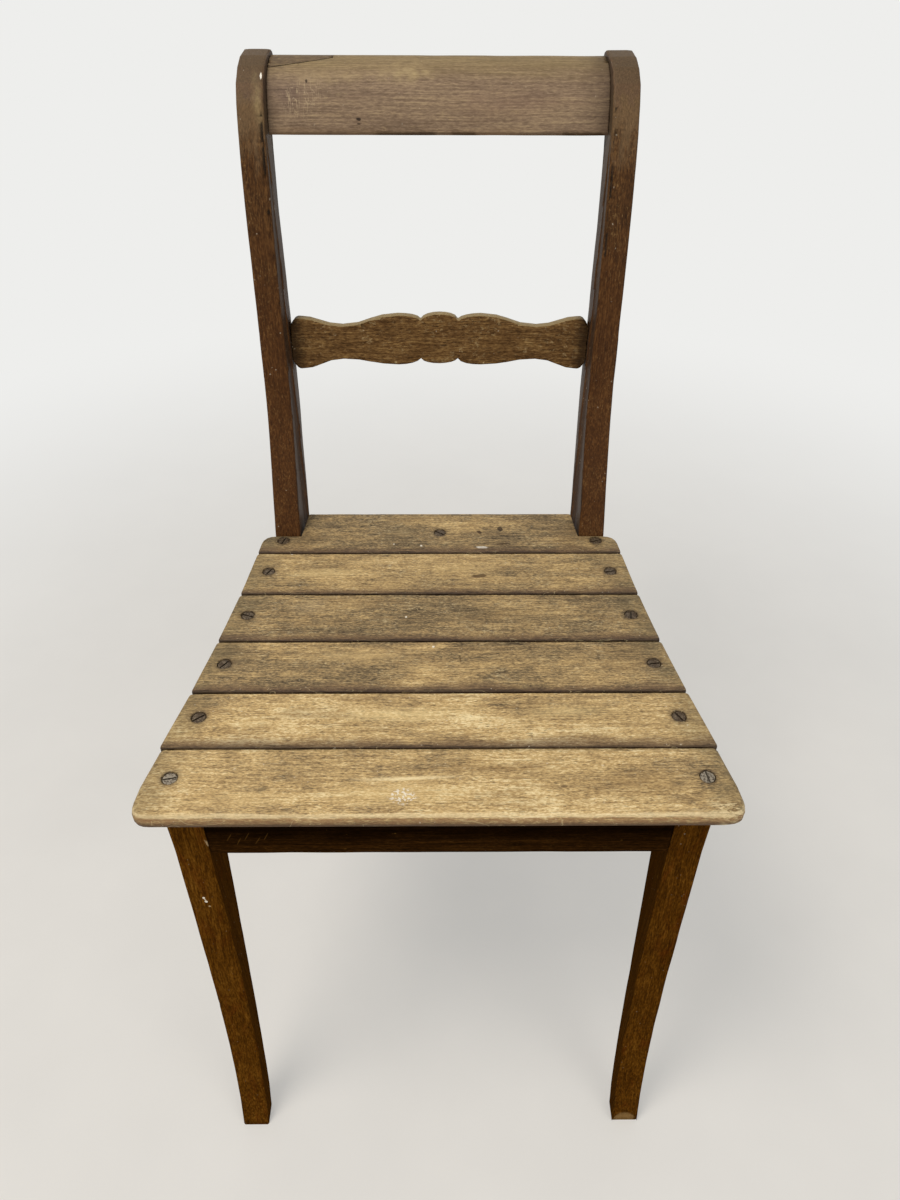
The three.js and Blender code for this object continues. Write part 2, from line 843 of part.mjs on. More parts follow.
for (const [side, word] of [[-1, "left"], [1, "right"]]) {
  place(frame, `rear_post_${word}`, rearPost(side), postWood, side * (backHalfWidth - postWidth / 2));
  place(frame, `front_leg_${word}`, frontLeg(side), legWood, side * (legOuterHalf - legTopWidth / 2));
  place(frame, `side_apron_${word}`, sideApron(side), apronWood);
}
place(frame, "front_apron", frontApron(), apronWood);
place(frame, "rear_apron", rearApron(), apronWood);
place(back, "crest_rail", crestRail(), crestWood);
place(back, "crest_patch", crestPatch(), crestWood);
const splat = place(back, "splat_rail", splatRail(), splatWood, 0, splatMiddle, splatLevel);
splat.rotation.x = -splatTilt;

// Stand the chair with the middle of its footprint at the origin
chair.updateMatrixWorld(true);
const bounds = new THREE.Box3().setFromObject(chair);
chair.position.y = -(bounds.min.y + bounds.max.y) / 2;
chair.updateMatrixWorld(true);

export default chair;
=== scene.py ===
import math

import bmesh
import bpy
from mathutils import Matrix, Vector, kdtree, noise


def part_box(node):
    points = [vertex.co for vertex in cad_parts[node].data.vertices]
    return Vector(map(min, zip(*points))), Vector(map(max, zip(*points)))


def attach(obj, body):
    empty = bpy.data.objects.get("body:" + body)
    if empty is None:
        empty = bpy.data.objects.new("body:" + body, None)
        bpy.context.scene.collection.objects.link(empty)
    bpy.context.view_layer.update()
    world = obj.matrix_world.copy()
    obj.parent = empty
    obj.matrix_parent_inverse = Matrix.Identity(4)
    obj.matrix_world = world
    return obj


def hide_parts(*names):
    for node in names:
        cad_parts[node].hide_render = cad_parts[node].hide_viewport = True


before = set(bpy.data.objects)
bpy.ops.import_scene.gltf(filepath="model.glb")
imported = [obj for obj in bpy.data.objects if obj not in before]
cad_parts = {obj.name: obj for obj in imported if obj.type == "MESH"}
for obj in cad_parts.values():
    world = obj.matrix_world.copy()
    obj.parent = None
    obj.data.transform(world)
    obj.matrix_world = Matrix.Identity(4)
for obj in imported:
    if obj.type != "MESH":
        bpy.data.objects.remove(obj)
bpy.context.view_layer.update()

seatFront = -232.1  # where the seat's front edge lies, in millimetres from the chair's middle
seatTop = 465.0  # the height of the seat, in millimetres


def linear(hexColor):
    parts = [int(hexColor[i : i + 2], 16) / 255 for i in (1, 3, 5)]
    return [p / 12.92 if p <= 0.04045 else ((p + 0.055) / 1.055) ** 2.4 for p in parts] + [1.0]


# Adds a node with its settings. An input, named or numbered, gets a link, a hex colour or a constant,
# and a colour ramp gets its stops.
def add(tree, kind, inputs=None, stops=(), **settings):
    node = tree.nodes.new(kind)
    for key, value in settings.items():
        setattr(node, key, value)
    for key, value in (inputs or {}).items():
        if isinstance(value, bpy.types.NodeSocket):
            tree.links.new(value, node.inputs[key])
        else:
            isColor = isinstance(value, str) and value.startswith("#")
            node.inputs[key].default_value = linear(value) if isColor else value
    if stops:
        elements = node.color_ramp.elements
        while len(elements) < len(stops):
            elements.new(0.5)
        for element, (place, shade) in zip(elements, stops):
            element.position = place
            element.color = linear(shade)
    return node


class Recipe:
    # Builds one material. Lengths in its patterns are real millimetres.

    def __init__(self, name):
        self.material = bpy.data.materials.new(name)
        self.material.use_nodes = True
        self.tree = self.material.node_tree
        self.tree.nodes.clear()
        metres = {0: add(self.tree, "ShaderNodeTexCoord").outputs["Object"], "Scale": 1000.0}
        self.place = add(self.tree, "ShaderNodeVectorMath", metres, operation="SCALE").outputs[0]
        self.x, self.y, self.z = add(self.tree, "ShaderNodeSeparateXYZ", {0: self.place}).outputs

    # Noise from 0 to 1 whose lumps have these sizes along the three axes
    def lumps(self, sizes, detail=4.0, roughness=0.55, distortion=0.0, place=None):
        inputs = {0: place or self.place, 1: sizes}
        scaled = add(self.tree, "ShaderNodeVectorMath", inputs, operation="DIVIDE").outputs[0]
        inputs = {
            "Vector": scaled,
            "Scale": 1.0,
            "Detail": detail,
            "Roughness": roughness,
            "Distortion": distortion,
        }
        return add(self.tree, "ShaderNodeTexNoise", inputs).outputs["Fac"]

    # A start value plus each pattern times its weight
    def weigh(self, total, *weighted):
        for pattern, weight in weighted:
            inputs = {0: pattern, 1: weight, 2: total}
            total = add(self.tree, "ShaderNodeMath", inputs, operation="MULTIPLY_ADD").outputs[0]
        return total

    # A value that noise lets wander, by up to this reach
    def drift(self, value, reach, sizes, detail=4.0, roughness=0.55):
        return self.weigh(value, (self.lumps(sizes, detail, roughness), reach))

    # How far a pattern is from one level: thin lines follow its contour there
    def contour(self, pattern, level):
        away = add(self.tree, "ShaderNodeMath", {0: pattern, 1: level}, operation="SUBTRACT").outputs[0]
        return add(self.tree, "ShaderNodeMath", {0: away}, operation="ABSOLUTE").outputs[0]

    # One mask where all the parts are on, times a share. A part is a mask, or a value with where it is
    # off and where it is fully on.
    def mask(self, *parts, share=1.0):
        for part in parts:
            if isinstance(part, tuple):
                inputs = dict(zip(("Value", "From Min", "From Max"), part))
                fade = add(self.tree, "ShaderNodeMapRange", inputs, interpolation_type="SMOOTHSTEP")
                part = fade.outputs["Result"]
            share = add(self.tree, "ShaderNodeMath", {0: part, 1: share}, operation="MULTIPLY").outputs[0]
        return share

    # The colour with a shade laid over it where the masks are on
    def tint(self, color, shade, share, *masks):
        inputs = {"Factor": self.mask(*masks, share=share), 6: color, 7: shade}
        return add(self.tree, "ShaderNodeMix", inputs, data_type="RGBA").outputs[2]

    # 1 inside an ellipse with a ragged rim, 0 outside. On the seat its centre is counted back from the
    # front edge, and on a front its second coordinate is the height. It reaches right through the chair.
    def spot(self, face, center, radii, turn=0.0, ragged=0.35, core=None):
        endless, angle = 1e6, math.radians(turn)
        if face == "seat":
            place, rotation = (center[0], center[1] + seatFront, 0), (0, 0, angle)
            size = (radii[0], radii[1], endless)
        else:
            place, rotation = (center[0], 0, center[1]), (0, -angle, 0)
            size = (radii[0], endless, radii[1])
        inputs = {"Vector": self.place, "Location": place, "Rotation": rotation, "Scale": size}
        inside = add(self.tree, "ShaderNodeMapping", inputs, vector_type="TEXTURE").outputs[0]
        reach = add(self.tree, "ShaderNodeVectorMath", {0: inside}, operation="LENGTH").outputs["Value"]
        rim = self.drift(reach, ragged * 2, (min(radii),) * 3, 3.0)
        return self.mask((rim, 1.0 + ragged, 0.75 + ragged * 0.6 if core is None else core))

    def finish(self, color, roughness, height, depth, specular, metallic=0.0):
        bump = add(self.tree, "ShaderNodeBump", {"Height": height, "Distance": depth, "Strength": 1.0})
        inputs = {
            "Base Color": color,
            "Roughness": roughness,
            "Specular IOR Level": specular,
            "Metallic": metallic,
            "Normal": bump.outputs["Normal"],
        }
        surface = add(self.tree, "ShaderNodeBsdfPrincipled", inputs)
        add(self.tree, "ShaderNodeOutputMaterial", {"Surface": surface.outputs[0]})
        return self.material


# Three sizes: one along the grain, and one for both ways across it
def alongGrain(axis, along, across):
    sizes = [across] * 3
    sizes[axis] = along
    return tuple(sizes)


# What all the boards share, in millimetres, along and across the grain where there are two. Pores are
# drawn a few times as coarse as real beech has them, so that they show, and so are the looks' flecks.
woodSize = {
    "seedStep": 371.0, "sway": (120, 60), "pore": (6.5, 1.5), "fleckPatch": 30, "arris": (14, 5),
    "speck": 2.2, "speckShade": "#d8cdb8",
}

# Each board is cut from its own stretch of grain
grainSeeds = {
    "slat": 0.3, "slatStep": 1.7, "post": 3.1, "leg": 6.3, "apron": 8.4, "sideApron": 10.2,
    "crest": 12.6, "patch": 14.9, "splat": 16.2,
}


# Old beech: growth rings, fibre and short rays along the grain, then what use has done to it:
# stains, rubbed and dirty lines beside the arrises, and plaster specks. The mesh carries distances in
# millimetres: "edge" from the arrises, "gap" from the slat's front edge and "screw" from the nearest
# screw. "tone" makes one board lighter than the next, and "seed" is its stretch of grain.
def wood(name, look, extras=None):
    r = Recipe(name)
    axis = look["axis"]
    carried = {
        key: add(r.tree, "ShaderNodeAttribute", attribute_name=key).outputs["Fac"]
        for key in ("seed", "tone", "edge")
    }
    inputs = {0: carried["seed"], 1: (woodSize["seedStep"],) * 3, 2: r.place}
    place = add(r.tree, "ShaderNodeVectorMath", inputs, operation="MULTIPLY_ADD").outputs[0]
    # The grain sways to both sides of straight
    waver = r.weigh(-0.5, (r.lumps(alongGrain(axis, *woodSize["sway"]), 2.0, place=place), 1.0))
    inputs = {0: waver, 1: alongGrain(axis, 0.0, look["sway"]), 2: place}
    flow = add(r.tree, "ShaderNodeVectorMath", inputs, operation="MULTIPLY_ADD").outputs[0]

    # Each layer of grain darkens and lightens the tone by its share
    layers = {}
    tone = r.weigh(0.5, (carried["tone"], 1.0))
    for layer, (along, across, detail, share) in look["grain"].items():
        layers[layer] = r.lumps(alongGrain(axis, along, across), detail, 0.62, 0.15, flow)
        tone = r.weigh(tone, (layers[layer], share), (-0.5, share))
    color = add(r.tree, "ShaderNodeValToRGB", {"Fac": tone}, look["shades"]).outputs["Color"]

    pores = r.mask((r.lumps(alongGrain(axis, *woodSize["pore"]), 2.0, 0.6, 0.0, flow), 0.58, 0.68))
    color = r.tint(color, look["pore"], look["pores"], pores)
    flecks = r.lumps(alongGrain(axis, look["fleckLength"], look["fleckWidth"]), 3.0, 0.7, 0.3, flow)
    patches = r.lumps((woodSize["fleckPatch"],) * 3, 3.0, place=place)
    color = r.tint(color, look["fleck"], look["flecks"], (flecks, 0.54, 0.68), (patches, 0.4, 0.62))
    stain = r.lumps(alongGrain(axis, look["stainLength"], look["stainWidth"]), 5.0, 0.65, 0.6, place)
    stain = r.mask((stain, 0.5, 0.7))
    color = r.tint(color, look["stain"], look["stains"], stain)
    if extras:
        color = extras(r, color)
    # Fibre and rays still show through the stains and marks
    fine = r.weigh(-1.7, (layers["fibre"], 2.2), (layers["chatter"], 2.2))
    fine = add(r.tree, "ShaderNodeClamp", {"Value": fine}).outputs[0]
    inputs = {"Factor": look["showThrough"], 6: color, 7: fine}
    color = add(r.tree, "ShaderNodeMix", inputs, data_type="RGBA", blend_type="SOFT_LIGHT").outputs[2]

    # Bare wood and dirt in ragged lines beside the arrises, and specks all over
    ragged = r.weigh(-0.75, (r.lumps(alongGrain(axis, *woodSize["arris"]), 4.0, 0.7, 0.0, place), 2.4))
    rubbed = r.weigh(0.0, (ragged, look["rubWidth"]))
    color = r.tint(color, look["bare"], look["rub"], (carried["edge"], rubbed, 0.0))
    grimy = r.weigh(0.4, (ragged, look["grimeWidth"]))
    color = r.tint(color, look["dirt"], look["grime"], (carried["edge"], grimy, 0.0))
    specks = r.lumps((woodSize["speck"],) * 3, 0.0, place=place)
    color = r.tint(color, woodSize["speckShade"], look["specks"], (specks, 0.83, 0.87))

    # Fibre stands up rougher, stains are a little smoother and pores are pits
    rough = r.weigh(look["roughness"] - 0.1, (layers["fibre"], 0.2), (stain, -0.05))
    height = r.weigh(0.0, (layers["chatter"], 0.5), (layers["fibre"], 0.6), (pores, -0.25))
    return r.finish(color, rough, height, look["relief"], look["specular"])


# From this half size in millimetres a mark fades slowly, from this share of its radius outwards
markSize = {"large": 12, "core": 0.3}


# Marks set one by one: centre, half sizes, turn in degrees, shade and strength
def marked(r, color, face, marks):
    for x, y, length, width, turn, shade, strength in marks:
        core = markSize["core"] if max(length, width) > markSize["large"] else None
        color = r.tint(color, shade, strength, r.spot(face, (x, y), (length, width), turn, core=core))
    return color


# The way a surface faces, as three numbers from -1 to 1
def facing(r):
    normal = add(r.tree, "ShaderNodeNewGeometry").outputs["Normal"]
    return add(r.tree, "ShaderNodeSeparateXYZ", {0: normal}).outputs


# The distance to either side of the chair's middle
def sideways(r):
    return r.contour(r.x, 0.0)


# The part of a mask for faces that look towards the chair's middle, which are painted darker as shade
def inwardShade(r):
    side = add(r.tree, "ShaderNodeMath", {0: r.x}, operation="SIGN").outputs[0]
    inputs = {0: side, 1: facing(r)[0]}
    return (add(r.tree, "ShaderNodeMath", inputs, operation="MULTIPLY").outputs[0], -0.8, -0.97)


# How a board wears, in millimetres: the sizes of its dents, nicks and uneven rubbing, and how far from
# an arris the rubbing reaches. An edge is an arris, or is shaded sharp, from these angles in degrees.
# Doubles merge within a distance in metres, and faces join within an angle in radians.
wearSize = {
    "dent": 38, "nick": 9, "nickFrom": 0.12, "rub": 21, "rubMiddle": 0.6, "reach": 1.6, "farthest": 12.0,
    "seedStep": 91, "arrisAngle": 22.92, "shadeAngle": 38, "merge": 1e-5, "flat": 0.01,
}


# How far each vertex is from the nearest one on an arris, in millimetres and up to the farthest.
# A vertex on the arris itself counts as far, so that the wear lies beside the arris.
def arrisDistance(board):
    tree = kdtree.KDTree(len(board.verts))
    sharp = math.radians(wearSize["arrisAngle"])
    for vertex in board.verts:
        if any(edge.calc_face_angle(0.0) > sharp for edge in vertex.link_edges):
            tree.insert(vertex.co, vertex.index)
    tree.balance()
    nearest = [1000 * (tree.find(vertex.co)[2] or 0.0) for vertex in board.verts]
    farthest = wearSize["farthest"]
    return [min(farthest, distance or farthest) for distance in nearest]


# Cuts a board across one axis into equal steps, so that its faces can be moved
def cutAlong(board, axis, step, low, high):
    count = max(1, round((high - low) * 1000 / step))
    normal = Vector((axis == 0, axis == 1, axis == 2))
    for i in range(1, count):
        place = normal * (low + (high - low) * i / count)
        geometry = board.verts[:] + board.edges[:] + board.faces[:]
        bmesh.ops.bisect_plane(board, geom=geometry, dist=1e-6, plane_co=place, plane_no=normal)


# A board as years of use leave it: the modelled board with its faces a little hollowed and nicked
# beside the arrises, and only ever smaller than the sound board was. "grid" is how finely it is cut.
def wornBoard(node, wear, material, seed, tone=0.0, values=None, shape=None):
    board = bmesh.new()
    board.from_mesh(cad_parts[node].data)
    bmesh.ops.remove_doubles(board, verts=board.verts, dist=wearSize["merge"])
    flat = wearSize["flat"]
    bmesh.ops.dissolve_limit(board, angle_limit=flat, verts=board.verts, edges=board.edges)
    low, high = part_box(node)
    for axis, step in enumerate(wear["grid"]):
        cutAlong(board, axis, step, low[axis], high[axis])
    bmesh.ops.triangulate(board, faces=board.faces)
    board.verts.ensure_lookup_table()
    board.verts.index_update()
    board.normal_update()
    edges = arrisDistance(board)
    moves = []
    for vertex in board.verts:
        p = vertex.co * 1000 + Vector((seed, seed, seed)) * wearSize["seedStep"]
        dent = max(0.0, noise.noise(p / wearSize["dent"])) * wear["dent"]
        nick = max(0.0, noise.noise(p / wearSize["nick"]) - wearSize["nickFrom"]) * wear["nick"]
        rub = (wearSize["rubMiddle"] + noise.noise(p / wearSize["rub"])) * wear["rub"]
        near = math.exp(-edges[vertex.index] / wearSize["reach"])
        moves.append(-vertex.normal * (dent + near * (rub + nick)) / 1000)
    for vertex, move in zip(board.verts, moves):
        vertex.co += move
        if shape:
            shape(vertex)
    mesh = bpy.data.meshes.new(node + "_worn")
    board.to_mesh(mesh)
    board.free()
    carried = {"edge": edges, "tone": [tone] * len(edges), "seed": [seed] * len(edges)}
    for name, measure in (values or {}).items():
        carried[name] = [measure(vertex.co) for vertex in mesh.vertices]
    for name, numbers in carried.items():
        mesh.attributes.new(name, "FLOAT", "POINT").data.foreach_set("value", numbers)
    mesh.shade_smooth()
    mesh.set_sharp_from_angle(angle=math.radians(wearSize["shadeAngle"]))
    mesh.materials.append(material)
    piece = bpy.data.objects.new(node + "_worn", mesh)
    bpy.context.collection.objects.link(piece)
    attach(piece, "root")
    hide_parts(node)


# Seat slats: bare, bleached beech, greyer towards the ends, with dark dirt along the gaps
slatLook = {
    "axis": 0, "sway": 7.0,
    "grain": {
        "rings": (260, 6.0, 2.0, 0.35),
        "fibre": (34, 1.4, 3.0, 0.6),
        "chatter": (3.0, 1.0, 2.0, 1.05),
        "mottle": (11, 6, 4.0, 0.6),
        "cloud": (80, 30, 4.0, 1.2),
    },
    "shades": ((0.0, "#4a3d2c"), (0.25, "#7c6b4f"), (0.5, "#a98f64"), (0.72, "#caac77"), (1.0, "#f0dba9")),
    "showThrough": 0.25, "pore": "#463520", "pores": 0.5,
    "fleck": "#ead8ab", "flecks": 0.5, "fleckLength": 5, "fleckWidth": 1.4,
    "stain": "#7d6442", "stains": 0.4, "stainLength": 55, "stainWidth": 12,
    "dirt": "#3b2d1f", "grime": 0.25, "grimeWidth": 1.4,
    "bare": "#d3b983", "rub": 0.35, "rubWidth": 2.4, "specks": 0.5,
    "roughness": 0.66, "relief": 0.0005, "specular": 0.25,
}

# Pale and dark stretches first, then stains, nicks and specks
slatMarkList = [
    (-30, 20, 75, 15, 0, "#e2c68c", 0.45),
    (-150, 16, 60, 12, 0, "#dcc08a", 0.3),
    (40, 44, 90, 6, 1, "#94764a", 0.45),
    (150, 30, 60, 22, 0, "#96784c", 0.4),
    (-25, 101, 80, 11, 2, "#efd9a2", 0.5),
    (105, 104, 55, 10, 0, "#e3ca92", 0.4),
    (-150, 92, 34, 9, 0, "#d9bd86", 0.3),
    (-75, 172, 70, 12, 0, "#c2a878", 0.5),
    (-178, 165, 30, 24, 0, "#6c5a3f", 0.4),
    (168, 175, 40, 26, 0, "#6f5c3f", 0.4),
    (-122, 240, 24, 15, 20, "#a3957a", 0.35),
    (60, 228, 90, 16, 0, "#7c6746", 0.35),
    (-110, 292, 62, 10, 2, "#e2c992", 0.5),
    (20, 298, 70, 14, 0, "#c9ae7a", 0.3),
    (-140, 352, 52, 22, 0, "#5c4b35", 0.45),
    (140, 360, 40, 22, 0, "#635039", 0.45),
    (-40, 362, 26, 12, 0, "#a8946c", 0.4),
    (63, 368, 3.4, 5.0, 8, "#2c1d10", 0.9),
    (41, 362, 2.6, 4.0, 20, "#3f2a17", 0.9),
    (64, 341, 9.0, 1.5, 4, "#3b2816", 0.9),
    (43, 335, 7.0, 2.2, -3, "#f6f1e4", 1.0),
    (-149, 324, 1.3, 1.3, 0, "#ece6d8", 0.9),
    (-25, 34, 58.0, 2.8, 2, "#f4e0b0", 1.0),
    (-133, 24, 5.5, 2.4, 30, "#7d6a4a", 0.7),
    (-5.5, 183.5, 1.3, 1.5, 0, "#f2ecdd", 0.9),
    (-31, 225, 1.1, 1.4, 0, "#f2ecdd", 0.85),
    (-19, 338, 1.4, 1.6, 0, "#f0eadb", 0.85),
    (-47, 341, 1.0, 1.2, 0, "#ece5d4", 0.8),
    (39, 287, 9.5, 3.2, 6, "#4f3a22", 0.85),
    (18, 167.5, 1.0, 5.5, 6, "#594426", 0.7),
    (70, 45, 12, 1.3, 3, "#6b5232", 0.6),
]


def slatMarks(r, color):
    color = marked(r, color, "seat", slatMarkList)
    # A patch of dried paint crumbs near the middle of the front slat
    crumbs = r.lumps((1.9, 1.9, 1.9), 1.0, 0.5)
    color = r.tint(color, "#f2ecde", 0.8, (crumbs, 0.52, 0.58), r.spot("seat", (-28, 17), (12, 9)))
    # Towards the ends the slats are greyer, where nobody's clothes have rubbed them
    endwise = r.drift(r.weigh(sideways(r), (r.y, 0.14)), 60.0, (40, 24, 24), 4.0, 0.6)
    color = r.tint(color, "#75684b", 0.45, (endwise, 188.0, 226.0))
    # The front edge gets a pale painted highlight along its top and rough fibres below it, and is darker
    # towards its lower edge
    nose = (r.y, seatFront + 13, seatFront + 5)
    rise = r.drift(r.z, 4.0, (20, 3, 3), 4.0, 0.7)
    highlightBand = ((rise, seatTop + 1.0, seatTop - 0.4), (rise, seatTop - 3.5, seatTop - 2.0))
    color = r.tint(color, "#f3dfb2", 0.55, nose, *highlightBand)
    rough = (r.lumps((5, 5, 2.2), 4.0, 0.7), 0.34, 0.56)
    color = r.tint(color, "#9c7853", 0.8, nose, (rise, seatTop - 1.5, seatTop - 4.0), rough)
    color = r.tint(color, "#4a3320", 0.85, nose, (rise, seatTop - 5.5, seatTop - 11.5))
    # Dirt lies along the gap in front of each slat and round the screws
    gap = add(r.tree, "ShaderNodeAttribute", attribute_name="gap").outputs["Fac"]
    color = r.tint(color, "#5a4536", 0.8, (gap, r.drift(-5.0, 36.0, (48, 48, 48), 4.0, 0.65), 1.5))
    streak = r.drift(-3.6, 9.0, (26, 6, 6), 4.0, 0.7)
    color = r.tint(color, "#261b13", 0.7, (gap, r.weigh(2.2, (streak, 1.0)), streak))
    screw = add(r.tree, "ShaderNodeAttribute", attribute_name="screw").outputs["Fac"]
    screw = r.drift(screw, -3.0, (3, 3, 3), 3.0, 0.7)
    color = r.tint(color, "#4a3826", 0.5, (screw, 10.0, 3.6))
    color = r.tint(color, "#21170e", 0.8, (screw, 5.6, 4.4))
    # Short dark checks along the grain, and a few long fine scratches at a slant to it
    color = r.tint(color, "#4d3a22", 0.55, (r.lumps((22, 1.1, 1.1), 3.0, 0.6, 0.2), 0.66, 0.7))
    scratch = r.contour(r.lumps((60, 9, 60), 2.0, 0.5, 0.8), 0.56)
    color = r.tint(color, "#e6d2a2", 0.35, (scratch, 0.004, 0.001))
    # The front right corner has split, and its broken fibres are pale and dark
    fibres = r.lumps((7, 2.0, 1.6), 4.0, 0.75, 0.6)
    corner = r.spot("seat", (213, 6), (22, 12), -20, 0.6, 0.5)
    color = r.tint(color, "#f2dfb0", 0.7, (fibres, 0.5, 0.54), corner)
    return r.tint(color, "#6a4f30", 0.7, (fibres, 0.47, 0.42), corner)


screwNodes = [f"seat_screw_{i + 1}" for i in range(13)]
screwPlaces = []
for node in screwNodes:
    low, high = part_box(node)
    screwPlaces.append(Vector(((low[0] + high[0]) / 2, (low[1] + high[1]) / 2, high[2])))


# Distances that the dirt follows, in millimetres and no longer than it needs
def screwDistance(place):
    nearest = min((place - screw).xy.length for screw in screwPlaces)
    return min(30.0, nearest * 1000)


def gapDistance(front):
    return lambda place: min(40.0, (place.y - front) * 1000)


slatMaterial = wood("bare bleached slat beech", slatLook, slatMarks)
slatTones = [-0.14, 0.0, -0.13, -0.08, 0.16, 0.12]  # from the back of the seat to the front
slatWear = {"grid": (5, 4, 6), "dent": 0.5, "nick": 2.2, "rub": 0.75}
noGap = -1.0  # metres: a front edge so far ahead that the first slat gets no dirt from a gap
for i, tone in enumerate(slatTones):
    slat = f"seat_slat_{i + 1}"
    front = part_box(slat)[0][1] if i + 1 < len(slatTones) else noGap
    values = {"gap": gapDistance(front), "screw": screwDistance}
    seed = grainSeeds["slat"] + grainSeeds["slatStep"] * i
    wornBoard(slat, slatWear, slatMaterial, seed, tone, values)
print("slats done")

# Rear posts: brown varnish, greyer by the crest and redder towards the seat
postLook = {
    "axis": 2, "sway": 5.0,
    "grain": {
        "rings": (260, 5.0, 2.0, 0.35),
        "fibre": (70, 1.3, 3.0, 0.65),
        "chatter": (4.5, 1.1, 2.0, 0.5),
        "cloud": (60, 14, 4.0, 0.35),
    },
    "shades": ((0.0, "#1d1209"), (0.3, "#372311"), (0.5, "#4b3119"), (0.7, "#634526"), (1.0, "#957142")),
    "showThrough": 0.2, "pore": "#22140a", "pores": 0.4,
    "fleck": "#9c7d50", "flecks": 0.4, "fleckLength": 3.4, "fleckWidth": 1.6,
    "stain": "#33200f", "stains": 0.35, "stainLength": 60, "stainWidth": 9,
    "dirt": "#1c130b", "grime": 0.1, "grimeWidth": 1.4,
    "bare": "#85683f", "rub": 0.18, "rubWidth": 1.6, "specks": 0.35,
    "roughness": 0.5, "relief": 0.00025, "specular": 0.1,
}


def postMarks(r, color):
    # A grey and a plum bloom by the crest, and a long pale painted highlight down the left post
    veil = r.drift(r.z, 90.0, (7, 7, 34), 4.0, 0.65)
    color = r.tint(color, "#705b42", 0.7, (veil, 842.0, 884.0))
    plum = r.drift(r.z, 70.0, (6, 6, 24))
    color = r.tint(color, "#5f483c", 0.4, (plum, 878.0, 896.0))
    color = r.tint(color, "#97845f", 0.75, r.spot("front", (-152.5, 851), (6.5, 30), 3, 0.7, 0.3))
    # Dust lies on what faces up
    color = r.tint(color, "#4d4432", 0.5, (facing(r)[2], 0.3, 0.95))
    red = r.drift(r.z, 120.0, (16, 16, 50), 3.0)
    color = r.tint(color, "#532d10", 0.25, (red, 850.0, 740.0))
    # Painted shade: the faces turned to the chair's middle go dark grey
    color = r.tint(color, "#37322d", 0.55, inwardShade(r))
    return r.tint(color, "#f4f0e6", 1.0, r.spot("front", (-149, 867), (1.0, 2.4)))


postMaterial = wood("brown varnished post beech", postLook, postMarks)
postWear = {"grid": (4, 6, 6), "dent": 0.5, "nick": 0.6, "rub": 0.5}
for i, side in enumerate(("left", "right")):
    wornBoard(f"rear_post_{side}", postWear, postMaterial, grainSeeds["post"] + i)
print("posts done")

# Front legs: darker, blotched red-brown varnish, worn dull
legLook = dict(
    postLook,
    shades=((0.0, "#1c0f03"), (0.3, "#3b2206"), (0.5, "#50300a"), (0.7, "#684313"), (1.0, "#93692d")),
    stain="#57290a", stains=0.45, stainLength=40, stainWidth=12,
    fleck="#84602a", flecks=0.2, bare="#87622c", rub=0.3, specular=0.0, roughness=0.6, specks=0.15,
)

legMarkList = [
    (-196.2, 336, 1.3, 1.6, 0, "#f6f1e4", 1.0),
    (-194.9, 331, 1.6, 1.5, 0, "#f6f1e4", 1.0),
    (-195.5, 333.5, 0.7, 3.2, 18, "#ddd2bb", 0.9),
    (-193.0, 325, 1.3, 1.2, 0, "#b9a27a", 0.8),
    (-182.4, 401, 1.2, 9.0, 15, "#b89f7a", 0.8),
]


def legMarks(r, color):
    color = marked(r, color, "front", legMarkList)
    # Painted shade: the faces turned to the chair's middle go darker
    color = r.tint(color, "#38220a", 0.7, inwardShade(r))
    # The right foot has lost its front corner, and the bare wood shows
    foot = r.spot("front", (188.5, 3), (12.6, 11.5), ragged=0.12)
    return r.tint(color, "#8d6f45", 1.0, foot, (r.y, -252.0, -256.0))


legMaterial = wood("dark varnished leg beech", legLook, legMarks)
legWear = {"grid": (4, 5, 6), "dent": 0.5, "nick": 1.4, "rub": 0.5}
for i, (side, tone) in enumerate((("left", 0.04), ("right", -0.01))):
    wornBoard(f"front_leg_{side}", legWear, legMaterial, grainSeeds["leg"] + i, tone)

# Aprons: the legs' varnish, with painted shade that makes them almost black under the seat
apronLook = dict(
    legLook, axis=0,
    shades=((0.0, "#0f0803"), (0.3, "#201204"), (0.5, "#301c08"), (0.7, "#442a0f"), (1.0, "#6c4a22")),
    stain="#140b04", stains=0.4, stainLength=60, stainWidth=8,
    fleck="#59401f", flecks=0.3, pores=0.3, specks=0.0,
)


def apronMarks(r, color):
    # Painted shade, darkest towards the top, right under the seat
    underSeatShade = r.drift(r.z, 16.0, (60, 60, 12), 3.0)
    color = r.tint(color, "#080401", 0.8, (underSeatShade, 404.0, 428.0))
    # Slanting scratches at the left end
    strokes = ((-165, 411, 62), (-158, 406, 66), (-151, 412, 64), (-143, 407, 61), (-136, 412, 65))
    marks = [(x, z, 6.0, 0.55, slant, "#6e4e25", 0.35) for x, z, slant in strokes]
    return marked(r, color, "front", marks)


apronMaterial = wood("apron beech varnish darkened by painted shade", apronLook, apronMarks)
sideApronMaterial = wood("side apron beech varnish darkened by painted shade", dict(apronLook, axis=1))
apronWear = {"grid": (6, 6, 5), "dent": 0.4, "nick": 1.0, "rub": 0.35}
for i, name in enumerate(("front_apron", "rear_apron")):
    wornBoard(name, apronWear, apronMaterial, grainSeeds["apron"] + i)
for i, side in enumerate(("left", "right")):
    wornBoard(f"side_apron_{side}", apronWear, sideApronMaterial, grainSeeds["sideApron"] + i)
print("legs and aprons done")

